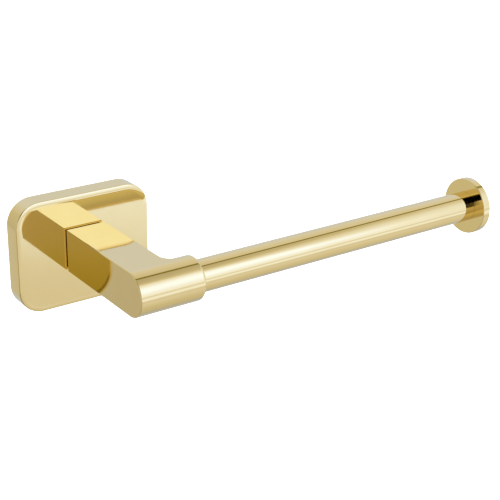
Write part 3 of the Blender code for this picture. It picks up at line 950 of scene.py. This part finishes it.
def wall_plug(node, name):
    """Nylon expansion plug: a rim, backward barbs and a split through its middle."""
    start, stop = span(node, 1)
    low, high = span(node, 0)
    center, rim, length = middle(node), (high - low) / 2, stop - start
    bore, core, nose, tip = 2.05 * MM, 2.4 * MM, 2.25 * MM, 2.15 * MM
    barb, barb_length, barb_gap, edge = rim - 0.03 * MM, 2.1 * MM, 0.05 * MM, 0.15 * MM
    flange, first_barb, barb_limit = 0.8 * MM, 2.2 * MM, 1.6 * MM
    nose_start, nose_end = 1.5 * MM, 0.1 * MM
    profile = [(0, bore), (0, rim - edge), (edge, rim), (flange, rim), (flange, core)]
    distance = first_barb
    while distance + barb_length < length - barb_limit:
        profile += [(distance, core), (distance + edge, barb), (distance + barb_length, core)]
        distance += barb_length + barb_gap
    profile += [(length - nose_start, core), (length - nose_end, nose), (length, tip), (length, bore)]
    plug = lathe(name, profile, (center.x, start, center.z), (0, 1, 0), SMALL_SIDES)
    near, far = start + 7 * MM, stop - 3 * MM
    split_width, split_height = 6 * MM, 0.7 * MM
    mesh = bmesh.new()
    bmesh.ops.create_cube(mesh, size=1.0)
    for vert in mesh.verts:
        vert.co = Vector((center.x + vert.co.x * split_width, (near + far) / 2 + vert.co.y * (far - near),
                          center.z + vert.co.z * split_height))
    cut(plug, to_object("split", mesh))
    shade(plug)
    return plug


def pin(node, name):
    """A spring pin with domed ends."""
    start, stop = span(node, 1)
    low, high = span(node, 0)
    center, radius, length, edge = middle(node), (high - low) / 2, stop - start, 0.35 * MM
    profile = [(0, 0)] + [(edge - x, radius - edge + y) for x, y in quarter((0, 0), edge, edge, 0, 90, 4)]
    profile += [(length - edge + x, radius - edge + y) for x, y in quarter((0, 0), edge, edge, 90, 0, 4)]
    piece = lathe(name, profile + [(length, 0)], (center.x, start, center.z), (0, 1, 0), SMALL_SIDES)
    shade(piece)
    return piece


def plug_outline(length, radius, edge):
    """Turned brass plug from end to end, with two shallow glue grooves."""
    groove, half = 0.25 * MM, 0.6 * MM
    points = [(0, radius - edge), (edge, radius)]
    for distance in (length / 3, 2 * length / 3):
        points += [(distance - half, radius), (distance - half + groove, radius - groove),
                   (distance + half - groove, radius - groove), (distance + half, radius)]
    return points + [(length - edge, radius), (length, radius - edge)]


def brass_plug(node, name, hole=0.0):
    """A plug for the tube's end, solid or with a hole right through it."""
    start, stop = span(node, 0)
    low, high = span(node, 2)
    center, length, radius, edge = middle(node), stop - start, (high - low) / 2, 0.4 * MM
    outline = plug_outline(length, radius, edge)
    if hole:
        profile = outline + [(length, hole + edge), (length - edge, hole), (edge, hole), (0, hole + edge)]
    else:
        profile = [(0, 0)] + outline + [(length, 0)]
    plug = lathe(name, profile, (start, center.y, center.z), (1, 0, 0), SMALL_SIDES)
    shade(plug)
    return plug


def softened(node, name, width, segments):
    """The CAD piece with rounded edges, for cut and pressed sheet."""
    piece = copy_of(node, name)
    bevel(piece, width, segments)
    shade(piece)
    return piece


# ---------------------------------------------------------------- scene

colour_management()
studio_camera()
studio_world()
studio_floor()
gold = polished_gold()
# Each finish: its two colours, its range of roughness, how metallic it is, the scale of its clouds,
# its relief and the closeness of its tool lines
ZINC = (((0.60, 0.61, 0.62), (0.68, 0.68, 0.66)), (0.24, 0.40), 1.0, 300.0, 0.25)
BRASS = (((0.72, 0.56, 0.28), (0.63, 0.47, 0.22)), (0.22, 0.38), 1.0, 180.0, 0.25, 900.0)
NYLON = (((0.45, 0.46, 0.48), (0.40, 0.41, 0.43)), (0.42, 0.60), 0.0, 240.0, 0.35)
RUBBER = (((0.03, 0.03, 0.03), (0.05, 0.048, 0.045)), (0.70, 0.92), 0.0, 500.0, 0.6)
steel = fine_finish("zinc_finish", *ZINC)
brass = fine_finish("brass_finish", *BRASS)
nylon = fine_finish("nylon_finish", *NYLON)
rubber = fine_finish("rubber_finish", *RUBBER)

ARM_WASHER_HOLE = 2.8 * MM
WALL_WASHER_HOLE = 2.1 * MM
GASKET_ROUNDING = 0.04 * MM
SHEET_ROUNDING = 0.2 * MM

for build, node in (
    (plate_shell, "rosette_cover"),
    (arm_body, "arm"),
    (roll_bar, "bar_tube"),
    (stop_disc, "end_disc"),
):
    place(build(), node, gold, "holder")
gasket = softened("seat_gasket", "seat_gasket_piece", GASKET_ROUNDING, 2)
place(gasket, "seat_gasket", rubber, "holder")
for piece, node in (
    (brass_plug("bar_plug_near", "bar_plug_near_piece"), "bar_plug_near"),
    (brass_plug("bar_plug_far", "bar_plug_far_piece", STUD_HOLE), "bar_plug_far"),
):
    place(piece, node, brass, "holder")
for piece, node in (
    (disc_stud(), "disc_stud"),
    (grub_screw("bar_set_screw", "bar_set_screw_piece"), "bar_set_screw"),
    (arm_bolt(), "arm_bolt"),
    (washer("arm_flat_washer", "arm_flat_washer_piece", ARM_WASHER_HOLE), "arm_flat_washer"),
    (split_washer("arm_lock_washer", "arm_lock_washer_piece", ARM_WASHER_HOLE), "arm_lock_washer"),
    (pin("arm_pin_lower", "arm_pin_lower_piece"), "arm_pin_lower"),
    (pin("arm_pin_upper", "arm_pin_upper_piece"), "arm_pin_upper"),
):
    place(piece, node, steel, "holder")
set_screw = grub_screw("rosette_set_screw", "plate_set_screw_piece")
place(set_screw, "rosette_set_screw", steel, "plate_set_screw")
bracket_sheet = softened("wall_bracket", "bracket_sheet", SHEET_ROUNDING, 3)
place(bracket_sheet, "wall_bracket", steel, "bracket")
for label in ("left", "right"):
    screw, ring, plug = "wall_screw_" + label, "wall_washer_" + label, "wall_plug_" + label
    place(wall_screw(screw, screw + "_piece"), screw, steel, "bracket")
    place(washer(ring, ring + "_piece", WALL_WASHER_HOLE), ring, steel, "bracket")
    place(wall_plug(plug, plug + "_piece"), plug, nylon, "bracket")
